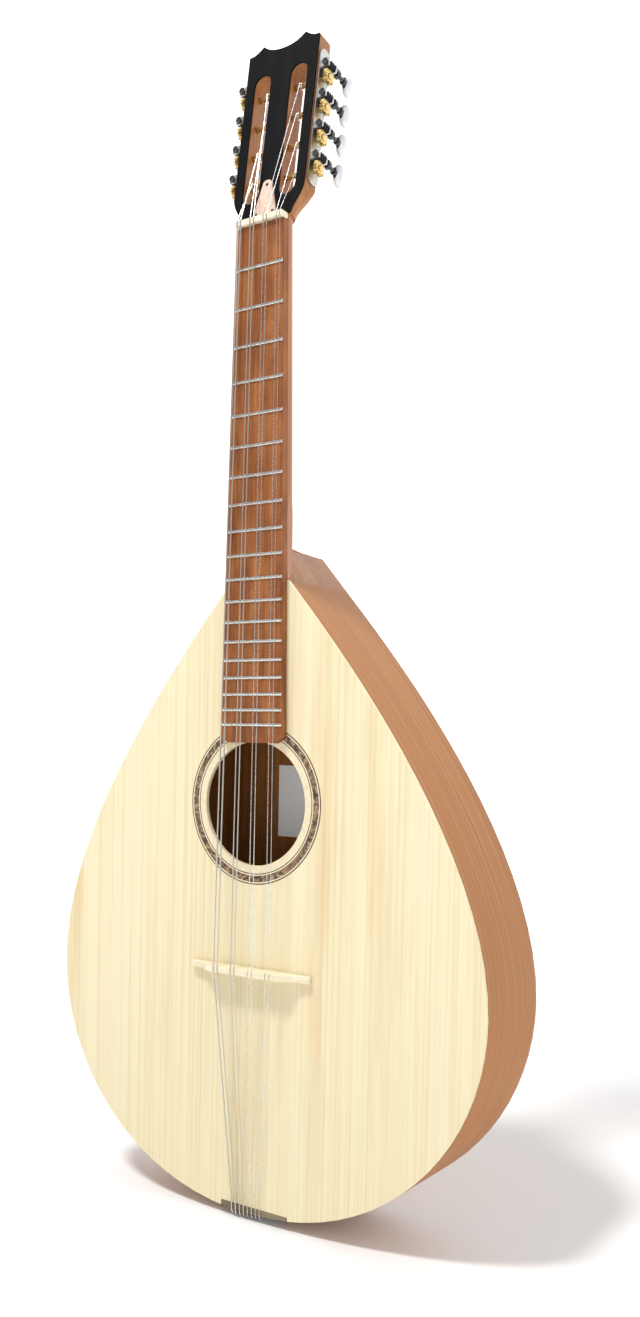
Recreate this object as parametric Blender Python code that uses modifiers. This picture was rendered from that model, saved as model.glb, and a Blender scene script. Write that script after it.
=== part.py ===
"""Mandola with a teardrop body, a slotted head and eight strings in four pairs.

Frame: metres. +Z runs up the neck, the soundboard faces -Y and +X is the treble
side. The origin is under the middle of the whole instrument, level with the
lowest point of the tailpiece.
"""
import math

import bmesh
import bpy
from mathutils import Matrix, Vector

# ---------------------------------------------------------------- dimensions
SCALE_LENGTH = 0.535      # nut to bridge
GAP = 0.0003              # air between pieces that touch

# body
BODY_DEPTH = 0.077        # outside of the soundboard to outside of the back
TOP_THICK = 0.0028
BACK_THICK = 0.0030
RIB_THICK = 0.0025
BODY_TOP = -0.2533        # upper end of the body, below the nut
BODY_BOTTOM = -0.7135     # tail end of the body, below the nut
BODY_HALF = 0.1905        # half of the greatest width
BODY_WIDEST = -0.5450     # height of the greatest width
NECK_END_HALF = 0.0260    # half width of the body's upper end
SHOULDER_ANGLE = math.radians(41.5)   # of the sides, from vertical, at the neck
HANDLE_TAIL = 0.1180      # curve handles of the outline
HANDLE_BOUT = 0.0850
HANDLE_WAIST = 0.1108
HANDLE_NECK = 0.0600
OUTLINE_STEPS = 20        # per curve
HEEL_ROUND = 0.0040       # rounding of the heel's ridge
HOLE_Z = -0.4134
HOLE_R = 0.0451

# neck, fretboard, strings
NUT_HALF = 0.0204
FRET_COUNT = 19
BOARD_HALF_END = 0.0279   # half width where the fretboard ends
BOARD_END = -0.3695
BOARD_CLIP = 0.0065       # diagonal clip of the two lower corners
BOARD_TOP = -0.0056       # playing surface, in front of the soundboard
FRET_HIGH = 0.0011
FRET_WIDE = 0.0023
NECK_DEEP_NUT = 0.0160    # wood behind the fretboard at the nut
NECK_DEEP_HEEL = 0.0185
NUT_THICK = 0.0047
NUT_TOP = -0.0084
STRING_AT_NUT = -0.0080   # string line in front of the soundboard
STRING_AT_BRIDGE = -0.0120
STRING_AT_TAIL = -0.0012  # nearest side of the string, over the tail edge
TAIL_TURN = 0.0020        # radius that the strings turn round the tail edge on
PAIR_PITCH_NUT = 0.0117
PAIR_SPLIT_NUT = 0.0030
PAIR_PITCH_BRIDGE = 0.0159
PAIR_SPLIT_BRIDGE = 0.0036
TAIL_PITCH = 0.0036
STRING_RADII = (0.00055, 0.00042, 0.00030, 0.00022)
BRIDGE_HALF = 0.0540
BRIDGE_THICK = 0.0052

# head
HEAD_ANGLE = math.radians(8.0)
HEAD_FACE = -0.0010       # face of the head at the nut, in front of the soundboard
HEAD_THICK = 0.0165
VENEER = 0.0012
HEAD_HALF = 0.0313
HEAD_SHOULDER = 0.0260    # along the head, where it reaches its full width
HEAD_CORNER = 0.1375
HEAD_PEAK = 0.1425
HEAD_PEAK_X = 0.0188
HEAD_DIP = 0.1362
SLOT_X = 0.0163
SLOT_HALF = 0.0075
SLOT_LOW = 0.0200
SLOT_HIGH = 0.1195

# tuning machines
TUNER_FIRST = 0.0380
TUNER_PITCH = 0.0230
ROLLER_DEPTH = 0.0080     # behind the face of the head
ROLLER_R = 0.0020
ROLLER_INNER = 0.0042
TEETH = 14
GEAR_PITCH_R = 0.0050
GEAR_TIP_R = 0.0057
GEAR_ROOT_R = 0.0041
GEAR_THICK = 0.0024
GEAR_X = 0.0374
WORM_PITCH_R = 0.0032
WORM_TIP_R = 0.0039
WORM_ROOT_R = 0.0023
WORM_LEAD = 2.0 * math.pi * GEAR_PITCH_R / TEETH
WORM_START = 0.0046
WORM_END = 0.0114
WORM_SIDES = 10
PLATE_THICK = 0.0012
PLATE_LOW = 0.0270
PLATE_HIGH = 0.1290
PLATE_FRONT = 0.0024
PLATE_REAR = 0.0142

# tail
TAIL_PLATE = 0.0012
TAIL_HALF = 0.0240
TAIL_FROM = 0.0040
TAIL_TO = 0.0440
HOOK_DEPTH = 0.0125
HOOK_R = 0.0009
HOOK_LONG = 0.0030

# ---------------------------------------------------------------- placing
FRONT_REACH = 0.0126      # outermost string at the bridge
TAIL_DROP = GAP + TAIL_PLATE + HOOK_LONG
Y_TOP = -(BODY_DEPTH - FRONT_REACH) / 2.0
Z_NUT = TAIL_DROP - BODY_BOTTOM

COLOURS = {
    "spruce": (0.87, 0.76, 0.53, 0.42, 0.0),
    "mahogany": (0.42, 0.19, 0.10, 0.45, 0.0),
    "back": (0.38, 0.17, 0.09, 0.45, 0.0),
    "board": (0.33, 0.12, 0.06, 0.50, 0.0),
    "black": (0.02, 0.02, 0.022, 0.40, 0.0),
    "bone": (0.88, 0.82, 0.66, 0.35, 0.0),
    "pine": (0.75, 0.58, 0.36, 0.60, 0.0),
    "steel": (0.72, 0.72, 0.72, 0.25, 1.0),
    "nickel": (0.66, 0.66, 0.64, 0.32, 1.0),
    "brass": (0.78, 0.60, 0.26, 0.28, 1.0),
    "bronze": (0.60, 0.50, 0.38, 0.35, 1.0),
    "rosewood": (0.12, 0.09, 0.06, 0.50, 0.0),
    "cover": (0.80, 0.62, 0.50, 0.40, 0.0),
    "pearl": (0.86, 0.87, 0.90, 0.20, 0.0),
}


# ---------------------------------------------------------------- helpers
def clear_scene():
    for ob in list(bpy.data.objects):
        bpy.data.objects.remove(ob, do_unlink=True)
    for col in list(bpy.data.collections):
        bpy.data.collections.remove(col)


clear_scene()
PARTS = bpy.data.collections.new("mandola")
CUTTERS = bpy.data.collections.new("cutters")
bpy.context.scene.collection.children.link(PARTS)
bpy.context.scene.collection.children.link(CUTTERS)


def material(kind, node):
    red, green, blue, rough, metal = COLOURS[kind]
    mat = bpy.data.materials.new(kind + "_" + node)
    mat.use_nodes = True
    bsdf = mat.node_tree.nodes["Principled BSDF"]
    bsdf.inputs["Base Color"].default_value = (red, green, blue, 1.0)
    bsdf.inputs["Roughness"].default_value = rough
    bsdf.inputs["Metallic"].default_value = metal
    mat.diffuse_color = (red, green, blue, 1.0)
    return mat


def finish(ob, name, kind, smooth=None):
    ob.name = name
    ob.data.name = name
    ob.data.materials.clear()
    ob.data.materials.append(material(kind, name))
    if smooth is not None:
        ob.data.shade_smooth()
        ob.data.set_sharp_from_angle(angle=math.radians(smooth))
    return ob


def as_mesh(ob):
    """Replace an object with the mesh it evaluates to, its seams welded."""
    bpy.context.view_layer.update()
    deps = bpy.context.evaluated_depsgraph_get()
    mesh = bpy.data.meshes.new_from_object(ob.evaluated_get(deps))
    bm = bmesh.new()
    bm.from_mesh(mesh)
    bmesh.ops.remove_doubles(bm, verts=bm.verts, dist=2e-6)
    bm.to_mesh(mesh)
    bm.free()
    new = bpy.data.objects.new(ob.name, mesh)
    new.matrix_world = ob.matrix_world.copy()
    for col in ob.users_collection:
        col.objects.link(new)
    old = ob.data
    bpy.data.objects.remove(ob, do_unlink=True)
    if old.users == 0:
        if isinstance(old, bpy.types.Curve):
            bpy.data.curves.remove(old)
        else:
            bpy.data.meshes.remove(old)
    return new


def flat(name, loops, thick, matrix, collection=None):
    """A flat outline, with any holes, given a thickness about its own plane."""
    curve = bpy.data.curves.new(name, "CURVE")
    curve.dimensions = "2D"
    curve.fill_mode = "BOTH"
    curve.extrude = thick / 2.0
    for loop in loops:
        spline = curve.splines.new("POLY")
        spline.points.add(len(loop) - 1)
        for point, (u, v) in zip(spline.points, loop):
            point.co = (u, v, 0.0, 1.0)
        spline.use_cyclic_u = True
    ob = bpy.data.objects.new(name, curve)
    (collection or PARTS).objects.link(ob)
    ob.matrix_world = matrix
    return as_mesh(ob)


def turned(name, profile, steps, matrix, collection=None):
    """A turned piece: radius and height pairs, from its top to its bottom."""
    mesh = bpy.data.meshes.new(name)
    mesh.from_pydata(
        [(r, 0.0, z) for r, z in profile],
        [(i, i + 1) for i in range(len(profile) - 1)],
        [],
    )
    ob = bpy.data.objects.new(name, mesh)
    (collection or PARTS).objects.link(ob)
    ob.matrix_world = matrix
    screw = ob.modifiers.new("screw", "SCREW")
    screw.axis = "Z"
    screw.angle = 2.0 * math.pi
    screw.steps = steps
    screw.render_steps = steps
    screw.use_merge_vertices = True
    screw.merge_threshold = 0.00001
    screw.use_smooth_shade = False
    return as_mesh(ob)


def wire(name, points, radius, resolution=2):
    """A round wire along straight runs, with closed ends."""
    curve = bpy.data.curves.new(name, "CURVE")
    curve.dimensions = "3D"
    curve.bevel_depth = radius
    curve.bevel_resolution = resolution
    curve.use_fill_caps = True
    spline = curve.splines.new("POLY")
    spline.points.add(len(points) - 1)
    for point, co in zip(spline.points, points):
        point.co = (co[0], co[1], co[2], 1.0)
    ob = bpy.data.objects.new(name, curve)
    PARTS.objects.link(ob)
    return as_mesh(ob)


def box(name, low, high, collection=None, matrix=None):
    mesh = bpy.data.meshes.new(name)
    bm = bmesh.new()
    bmesh.ops.create_cube(bm, size=1.0)
    size = [h - l for l, h in zip(low, high)]
    centre = [(h + l) / 2.0 for l, h in zip(low, high)]
    bmesh.ops.scale(bm, vec=size, verts=bm.verts)
    bmesh.ops.translate(bm, vec=centre, verts=bm.verts)
    bm.to_mesh(mesh)
    bm.free()
    ob = bpy.data.objects.new(name, mesh)
    (collection or PARTS).objects.link(ob)
    if matrix is not None:
        ob.matrix_world = matrix
    return ob


def loft(name, rings, matrix=None):
    """A skin over closed rings with the same number of points, ends closed."""
    mesh = bpy.data.meshes.new(name)
    bm = bmesh.new()
    rows = [[bm.verts.new(p) for p in ring] for ring in rings]
    count = len(rows[0])
    for a, b in zip(rows, rows[1:]):
        for i in range(count):
            j = (i + 1) % count
            bm.faces.new((a[i], a[j], b[j], b[i]))
    bm.faces.new(rows[0][::-1])
    bm.faces.new(rows[-1])
    bmesh.ops.remove_doubles(bm, verts=bm.verts, dist=2e-6)
    bmesh.ops.recalc_face_normals(bm, faces=bm.faces)
    bm.to_mesh(mesh)
    bm.free()
    ob = bpy.data.objects.new(name, mesh)
    PARTS.objects.link(ob)
    if matrix is not None:
        ob.matrix_world = matrix
    return ob


def cutter(ob):
    for col in list(ob.users_collection):
        col.objects.unlink(ob)
    CUTTERS.objects.link(ob)
    ob.hide_render = True
    ob.display_type = "WIRE"
    return ob


def boolean(ob, other, operation="DIFFERENCE"):
    mod = ob.modifiers.new(operation.lower(), "BOOLEAN")
    mod.operation = operation
    mod.object = other
    mod.solver = "EXACT"
    return mod


def bevel(ob, width, segments=2, angle=35.0):
    mod = ob.modifiers.new("bevel", "BEVEL")
    mod.width = width
    mod.segments = segments
    mod.limit_method = "ANGLE"
    mod.angle_limit = math.radians(angle)
    return mod


# ---------------------------------------------------------------- frames
def at(x, y, z):
    """A point given from the soundboard's face and the nut."""
    return Vector((x, Y_TOP + y, Z_NUT + z))


def elevation(y_mid):
    """Plane of a flat outline drawn as (x, height from the nut)."""
    return Matrix.Translation(at(0.0, y_mid, 0.0)) @ Matrix.Rotation(
        math.pi / 2.0, 4, "X")


HEAD_ORIGIN = at(0.0, HEAD_FACE, 0.0)
ALONG = Vector((0.0, math.sin(HEAD_ANGLE), math.cos(HEAD_ANGLE)))
INTO = Vector((0.0, math.cos(HEAD_ANGLE), -math.sin(HEAD_ANGLE)))


def head(x, s, n):
    """A point on the head: across, along from the nut, behind its face."""
    return HEAD_ORIGIN + Vector((x, 0.0, 0.0)) + ALONG * s + INTO * n


def head_plane(n_mid):
    """Plane of a flat outline drawn as (across, along the head)."""
    frame = Matrix.Rotation(math.pi / 2.0 - HEAD_ANGLE, 4, "X")
    return Matrix.Translation(head(0.0, 0.0, n_mid)) @ frame


def bezier(p0, p1, p2, p3, steps):
    out = []
    for i in range(steps + 1):
        t = i / steps
        a, b, c, d = (1 - t) ** 3, 3 * (1 - t) ** 2 * t, 3 * (1 - t) * t * t, t ** 3
        out.append((a * p0[0] + b * p1[0] + c * p2[0] + d * p3[0],
                    a * p0[1] + b * p1[1] + c * p2[1] + d * p3[1]))
    return out


def half_outline():
    """Treble half of the teardrop, from the tail up to the neck."""
    low = bezier((0.0, BODY_BOTTOM), (HANDLE_TAIL, BODY_BOTTOM),
                 (BODY_HALF, BODY_WIDEST - HANDLE_BOUT),
                 (BODY_HALF, BODY_WIDEST), OUTLINE_STEPS)
    end = (NECK_END_HALF, BODY_TOP)
    lead = (end[0] + HANDLE_NECK * math.sin(SHOULDER_ANGLE),
            end[1] - HANDLE_NECK * math.cos(SHOULDER_ANGLE))
    high = bezier((BODY_HALF, BODY_WIDEST),
                  (BODY_HALF, BODY_WIDEST + HANDLE_WAIST),
                  lead, end, OUTLINE_STEPS)
    return low + high[1:]


def inset(points, by):
    """Move the half outline inwards, its two ends kept on their lines."""
    out = []
    last = len(points) - 1
    for i, (x, z) in enumerate(points):
        a = points[max(i - 1, 0)]
        b = points[min(i + 1, last)]
        dx, dz = b[0] - a[0], b[1] - a[1]
        length = math.hypot(dx, dz)
        nx, nz = -dz / length, dx / length
        if i == 0:
            nx, nz = 0.0, 1.0
        if i == last:
            nz = 0.0
            nx = -1.0 / math.cos(SHOULDER_ANGLE)
        out.append((x + nx * by, z + nz * by))
    return out


HALF = half_outline()


def closed(half):
    """Both halves of the outline as one loop, anticlockwise."""
    return half + [(-x, z) for x, z in reversed(half[1:])]


def outline_z(x, by=0.0):
    """Height of the tail end at a given distance from the centre line."""
    pts = inset(HALF, by)
    x = abs(x)
    for a, b in zip(pts, pts[1:]):
        if a[0] <= x <= b[0]:
            t = (x - a[0]) / (b[0] - a[0])
            return a[1] + t * (b[1] - a[1])
    return pts[-1][1]


def half_width(z, by=0.0):
    pts = inset(HALF, by)[OUTLINE_STEPS // 2:]
    for a, b in zip(pts, pts[1:]):
        if a[1] <= z <= b[1]:
            t = (z - a[1]) / (b[1] - a[1])
            return a[0] + t * (b[0] - a[0])
    return pts[-1][0]


def board_half(z):
    return NUT_HALF + (BOARD_HALF_END - NUT_HALF) * z / BOARD_END


# ---------------------------------------------------------------- body
STRIP_LOW_X = -0.0240
STRIP_HIGH_X = 0.0360
STRIP_UP = 0.0040


def strip_outline(by, grow):
    xs = [STRIP_LOW_X - grow + (STRIP_HIGH_X - STRIP_LOW_X + 2 * grow) * i / 10
          for i in range(11)]
    outer = [(x, outline_z(x) + by) for x in xs]
    top = BODY_BOTTOM + STRIP_UP + grow + 0.0012
    return outer + [(xs[-1], top), (xs[0], top)]


def make_soundboard():
    hole = [(HOLE_R * math.cos(2 * math.pi * i / 56),
             HOLE_Z + HOLE_R * math.sin(2 * math.pi * i / 56)) for i in range(56)]
    half = list(HALF)
    half[-1] = (half[-1][0] + GAP * math.tan(SHOULDER_ANGLE), BODY_TOP - GAP)
    ob = flat("soundboard", [closed(half), hole], TOP_THICK,
              elevation(TOP_THICK / 2.0))
    cut = flat("strip_seat", [strip_outline(-0.0020, GAP)], TOP_THICK * 2,
               elevation(TOP_THICK / 2.0))
    boolean(ob, cutter(cut))
    ob = as_mesh(ob)
    return finish(ob, "soundboard", "spruce", 30)


def make_back():
    """The back carries on over the heel and ends in a rounded point."""
    pts = list(HALF[:-1])
    slope = math.tan(SHOULDER_ANGLE)
    apex = BODY_TOP + NECK_END_HALF / slope
    centre = apex - HEEL_ROUND / math.sin(SHOULDER_ANGLE)
    pts.append((NECK_END_HALF, BODY_TOP))
    steps = 5
    for i in range(steps):
        turn = math.pi / 2.0 * 0 + SHOULDER_ANGLE + (math.pi / 2.0 - SHOULDER_ANGLE) * i / steps
        pts.append((HEEL_ROUND * math.cos(turn), centre + HEEL_ROUND * math.sin(turn)))
    loop = pts + [(0.0, centre + HEEL_ROUND)] + [(-x, z) for x, z in reversed(pts[1:])]
    ob = flat("back_plate", [loop], BACK_THICK,
              elevation(BODY_DEPTH - BACK_THICK / 2.0))
    return finish(ob, "back_plate", "back", 30)


RIB_FRONT = TOP_THICK + GAP
RIB_REAR = BODY_DEPTH - BACK_THICK - GAP


def make_rib(side):
    """One bent side, from the tail seam to the heel."""
    name = "rib_treble" if side > 0 else "rib_bass"
    outer = list(HALF)
    inner = inset(HALF, RIB_THICK)
    outer[0] = (GAP / 2.0, outer[0][1])
    inner[0] = (GAP / 2.0, inner[0][1])
    end = BODY_TOP - GAP
    tan = math.tan(SHOULDER_ANGLE)
    outer[-1] = (outer[-1][0] + GAP * tan, end)
    inner[-1] = (inner[-1][0] + GAP * tan, end)
    loop = outer + inner[::-1]
    if side < 0:
        loop = [(-x, z) for x, z in reversed(loop)]
    ob = flat(name, [loop], RIB_REAR - RIB_FRONT,
              elevation((RIB_REAR + RIB_FRONT) / 2.0))
    return finish(ob, name, "mahogany", 30)


def make_tail_block():
    half = 0.0350
    by = RIB_THICK + GAP
    xs = [-half + 2 * half * i / 12 for i in range(13)]
    outer = [(x, outline_z(x, by)) for x in xs]
    top = BODY_BOTTOM + 0.0280
    loop = outer + [(half, top), (-half, top)]
    ob = flat("tail_block", [loop], RIB_REAR - RIB_FRONT,
              elevation((RIB_REAR + RIB_FRONT) / 2.0))
    return finish(ob, "tail_block", "pine")


def make_brace(name, z, high, wide):
    reach = min(half_width(z - wide, RIB_THICK), half_width(z + wide, RIB_THICK)) - 0.0010
    front = TOP_THICK + GAP
    loop = [(-reach, front), (reach, front), (reach, front + 0.0030),
            (reach * 0.80, front + high), (-reach * 0.80, front + high),
            (-reach, front + 0.0030)]
    place = Matrix.Translation(at(0.0, 0.0, z))
    ob = flat(name, [loop], wide, place)
    return finish(ob, name, "pine")


def make_tail_saddle():
    ob = flat("tail_saddle", [strip_outline(0.0005, 0.0)], TOP_THICK + 0.0006,
              elevation((TOP_THICK - 0.0006) / 2.0))
    ob = as_mesh_bevelled(ob, 0.0005)
    return finish(ob, "tail_saddle", "rosewood", 40)


def as_mesh_bevelled(ob, width, segments=1, angle=50.0):
    bevel(ob, width, segments, angle)
    return as_mesh(ob)


def make_tailpiece():
    """A plate screwed to the tail end, with a row of hooks for the loops."""
    xs = [-TAIL_HALF + 2 * TAIL_HALF * i / 10 for i in range(11)]
    near = [(x, outline_z(x) - GAP) for x in xs]
    far = [(x, outline_z(x) - GAP - TAIL_PLATE) for x in reversed(xs)]
    ob = flat("tailpiece", [far[::-1] + near[::-1]], TAIL_TO - TAIL_FROM,
              elevation((TAIL_TO + TAIL_FROM) / 2.0))
    for i in range(8):
        x = TAIL_PITCH * (i - 3.5)
        hook = turned("hook_%d" % i,
                      [(0.0, TAIL_PLATE * 0.5), (HOOK_R, TAIL_PLATE * 0.5),
                       (HOOK_R, -HOOK_LONG + 0.0003),
                       (HOOK_R - 0.0003, -HOOK_LONG),
                       (0.0, -HOOK_LONG)], 8,
                      Matrix.Translation(at(x, HOOK_DEPTH,
                                            BODY_BOTTOM - GAP - TAIL_PLATE)))
        boolean(ob, cutter(hook), "UNION")
    ob = as_mesh(ob)
    return finish(ob, "tailpiece", "nickel", 30)


# ---------------------------------------------------------------- neck
RING_HALF = 8             # steps from an edge of the section to its deepest point


def superellipse(half, deep, power, turn):
    c, s = math.cos(turn), math.sin(turn)
    return (half * max(c, 0.0) ** (2.0 / power), deep * max(s, 0.0) ** (2.0 / power))


def shaft_section(half, deep, power=2.3):
    pts = []
    for i in range(RING_HALF + 1):
        pts.append(superellipse(half, deep, power, math.pi / 2.0 * i / RING_HALF))
    return pts


def heel_section(half, deep, stem, full, soft, power=2.3):
    """The neck's section with the heel's blade below it."""
    pts = []
    upper = 5
    for i in range(upper):
        turn = math.pi / 2.0 * (0.0, 0.30, 0.52, 0.70, 0.84)[i]
        x, y = superellipse(half, deep, power, turn)
        gap = x - stem
        blend = 0.5 * (gap + math.sqrt(gap * gap + soft * soft)) if soft > 0 else max(gap, 0.0)
        weight = i / (upper - 1.0)
        x = x * (1.0 - weight) + (stem + blend) * weight if x > stem else stem
        pts.append((x, y))
    rest = RING_HALF - upper
    for i in range(rest):
        t = (0.12, 0.45, 1.0)[i]
        y = deep + (full - deep) * t
        widen = soft * 0.25 * (1.0 - t) ** 2
        pts.append((stem + widen, y))
    pts.append((0.0, full))
    return pts


def ring(section, z, top=0.0):
    right = [(x, top + y) for x, y in section]
    left = [(-x, y) for x, y in reversed(right[:-1])]
    return [at(x, y, z) for x, y in right + left]


def head_ring(section, s):
    right = [(x, VENEER + GAP + y) for x, y in section]
    left = [(-x, y) for x, y in reversed(right[:-1])]
    return [head(x, s, n) for x, n in right + left]


def head_half(s):
    """Half width of the head from the nut to its full width."""
    if s >= HEAD_SHOULDER:
        return HEAD_HALF
    t = max(s, 0.0) / HEAD_SHOULDER
    start = NUT_HALF + 0.0008
    ease = t ** 2.2 / (t ** 2.2 + (1.0 - t) ** 1.3 * 0.8)
    return start + (HEAD_HALF - start) * ease


def head_top():
    """Upper edge of the head's treble half, from the corner to the middle."""
    corner = (HEAD_HALF, HEAD_CORNER)
    notch = bezier(corner, (HEAD_HALF - 0.0035, HEAD_CORNER - 0.0006),
                   (HEAD_PEAK_X + 0.0050, HEAD_CORNER + 0.0008),
                   (HEAD_PEAK_X, HEAD_PEAK), 6)
    bowl = bezier((HEAD_PEAK_X, HEAD_PEAK),
                  (HEAD_PEAK_X - 0.0050, HEAD_DIP + 0.0020),
                  (HEAD_PEAK_X * 0.45, HEAD_DIP), (0.0, HEAD_DIP), 7)
    return notch + bowl[1:]


def slot_loop(side, grow=0.0):
    r = SLOT_HALF + grow
    low, high = SLOT_LOW + SLOT_HALF, SLOT_HIGH - SLOT_HALF
    pts = []
    for i in range(9):
        a = math.pi * i / 8
        pts.append((side * SLOT_X + r * math.cos(a), high + r * math.sin(a)))
    for i in range(9):
        a = math.pi + math.pi * i / 8
        pts.append((side * SLOT_X + r * math.cos(a), low + r * math.sin(a)))
    return pts


def make_neck():
    """Shaft, slotted head, heel and the foot inside the body, in one length."""
    rings = []
    rear = RIB_REAR
    foot_half = NECK_END_HALF - RIB_THICK / math.cos(SHOULDER_ANGLE) - 0.0008
    deep = rear - RIB_FRONT - 0.0002
    block = [(foot_half, y * deep) for y in
             (0.0, 0.15, 0.30, 0.45, 0.60, 0.75, 0.90, 1.0)]
    block.append((0.0, deep))
    rings.append(ring(block, BODY_TOP - 0.0450, RIB_FRONT))
    rings.append(ring(block, BODY_TOP, RIB_FRONT))
    tan = math.tan(SHOULDER_ANGLE)
    apex = BODY_TOP + NECK_END_HALF / tan
    centre = apex - HEEL_ROUND / math.sin(SHOULDER_ANGLE)
    tip = centre + HEEL_ROUND
    touch = centre + HEEL_ROUND * math.sin(SHOULDER_ANGLE)

    def blade(z):
        if z > touch:
            return math.sqrt(max(HEEL_ROUND ** 2 - (z - centre) ** 2, 0.0))
        return (apex - z) * tan

    heel_deep = NECK_DEEP_HEEL
    rows = [(0.0, 0.0000), (0.28, 0.0030), (0.55, 0.0045), (0.78, 0.0060)]
    span = touch - BODY_TOP
    for t, soft in rows:
        z = BODY_TOP + span * t
        rings.append(ring(heel_section(board_half(z), heel_deep, blade(z), rear, soft), z))
    for t, soft in ((0.0, 0.0080), (0.55, 0.0090), (0.93, 0.0100)):
        z = touch + (tip - touch) * t
        rings.append(ring(heel_section(board_half(z), heel_deep, blade(z), rear, soft), z))
    for rise, deep, stem in ((0.0006, 0.0500, 0.0012), (0.0018, 0.0380, 0.0016),
                             (0.0042, 0.0300, 0.0022), (0.0085, 0.0245, 0.0030),
                             (0.0140, 0.0212, 0.0040), (0.0210, 0.0194, 0.0050)):
        z = tip + rise
        rings.append(ring(heel_section(board_half(z), heel_deep, stem, deep, 0.0100), z))
    for z in (-0.1900, -0.1000, -0.0120, 0.0):
        t = z / -0.1900
        deep = NECK_DEEP_NUT + (NECK_DEEP_HEEL - NECK_DEEP_NUT) * t
        rings.append(ring(shaft_section(board_half(z), deep), z))
    rings.append(ring(shaft_section(NUT_HALF + 0.0002, NECK_DEEP_NUT), 0.0044))
    wood = HEAD_THICK - VENEER - GAP
    for s, power in ((0.0052, 2.5), (0.0100, 2.9), (0.0140, 3.6), (0.0175, 4.8),
                     (0.0205, 6.5), (0.0232, 9.0), (0.0260, 14.0)):
        deep = NECK_DEEP_NUT - 0.0008 + (wood - NECK_DEEP_NUT + 0.0008) * (s / HEAD_SHOULDER) ** 1.5
        rings.append(head_ring(shaft_section(head_half(s), deep, power), s))
    rings.append(head_ring(shaft_section(HEAD_HALF, wood, 14.0), 0.1460))
    ob = loft("neck", rings)

    top = head_top()
    crown = top + [(-x, s) for x, s in reversed(top[:-1])]
    crown = [(HEAD_HALF + 0.004, HEAD_CORNER)] + crown + [(-HEAD_HALF - 0.004, HEAD_CORNER)]
    crown += [(-HEAD_HALF - 0.004, 0.160), (HEAD_HALF + 0.004, 0.160)]
    boolean(ob, cutter(flat("crown_cut", [crown], 0.040, head_plane(0.008))))
    for side in (1, -1):
        boolean(ob, cutter(flat("slot_cut_%d" % side, [slot_loop(side)], 0.040,
                                head_plane(0.008))))
    for i in range(4):
        s = TUNER_FIRST + TUNER_PITCH * i
        for side in (1, -1):
            place = Matrix.Translation(head(0.0, s, ROLLER_DEPTH)) @ Matrix.Rotation(
                -HEAD_ANGLE, 4, "X") @ Matrix.Rotation(side * math.pi / 2.0, 4, "Y")
            bore = turned("bore_%d_%d" % (i, side),
                          [(0.0, 0.0360), (ROLLER_R + 0.0004, 0.0360),
                           (ROLLER_R + 0.0004, ROLLER_INNER - 0.0004),
                           (0.0, ROLLER_INNER - 0.0004)], 8, place)
            boolean(ob, cutter(bore))
    ob = as_mesh(ob)
    return finish(ob, "neck", "mahogany", 40)


def make_veneer():
    low = 0.0055
    side = []
    for i in range(9):
        s = low + (HEAD_SHOULDER - low) * i / 8
        side.append((head_half(s), s))
    right = side + head_top()
    loop = right + [(-x, s) for x, s in reversed(right[:-1])]
    ob = flat("head_veneer", [loop, slot_loop(1), slot_loop(-1)], VENEER,
              head_plane(VENEER / 2.0))
    return finish(ob, "head_veneer", "black", 30)


def make_cover():
    """Cover of the truss-rod pocket: wide at the nut, narrow at its tip."""
    low, high = 0.0060, 0.0335
    loop = [(0.0104, low), (0.0104, low + 0.0010), (0.0036, high - 0.0016),
            (0.0022, high - 0.0003), (0.0, high)]
    loop = loop + [(-x, s) for x, s in reversed(loop[:-1])]
    thick = 0.0016
    ob = flat("truss_rod_cover", [loop], thick, head_plane(-GAP - thick / 2.0))
    return finish(ob, "truss_rod_cover", "cover")


def make_board():
    end = BOARD_END
    loop = [(board_half(end) - BOARD_CLIP, end),
            (board_half(end + 0.0045), end + 0.0045),
            (board_half(0.0), 0.0)]
    loop = loop + [(-x, z) for x, z in reversed(loop)]
    ob = flat("fretboard", [loop], -BOARD_TOP - GAP, elevation((BOARD_TOP - GAP) / 2.0))
    ob = as_mesh_bevelled(ob, 0.0004)
    return finish(ob, "fretboard", "board", 40)


def fret_z(k):
    return -SCALE_LENGTH * (1.0 - 2.0 ** (-k / 12.0))


def make_fret(k):
    z = fret_z(k)
    low = BOARD_TOP - GAP
    w, h = FRET_WIDE / 2.0, FRET_HIGH - GAP
    loop = [(-w, 0.0), (w, 0.0), (w * 0.86, -h * 0.50), (w * 0.45, -h * 0.90),
            (0.0, -h), (-w * 0.45, -h * 0.90), (-w * 0.86, -h * 0.50)]
    loop = [(v, u) for u, v in loop]
    place = Matrix.Translation(at(0.0, low, z)) @ Matrix((
        (0.0, 0.0, 1.0, 0.0), (1.0, 0.0, 0.0, 0.0), (0.0, 1.0, 0.0, 0.0),
        (0.0, 0.0, 0.0, 1.0)))
    ob = flat("fret", [loop], 2.0 * (board_half(z) - 0.0003), place)
    return finish(ob, "fret_%02d" % k, "steel", 50)


# ---------------------------------------------------------------- strings
def string_x(i, pitch, split):
    """Across position of string i, counted from the bass side."""
    pair = i // 2
    return (pair - 1.5) * pitch + (split / 2.0 if i % 2 else -split / 2.0)


def winding(i):
    """Side, machine number, winding place and radii of string i."""
    side = -1 if i < 4 else 1
    order = i if i < 4 else 7 - i
    across = (0.0190, 0.0170, 0.0145, 0.0145)[order]
    return side, order, across


def string_radius(i):
    return STRING_RADII[i // 2]


def wound_radius(i):
    return ROLLER_R + 2.0 * string_radius(i)


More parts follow.
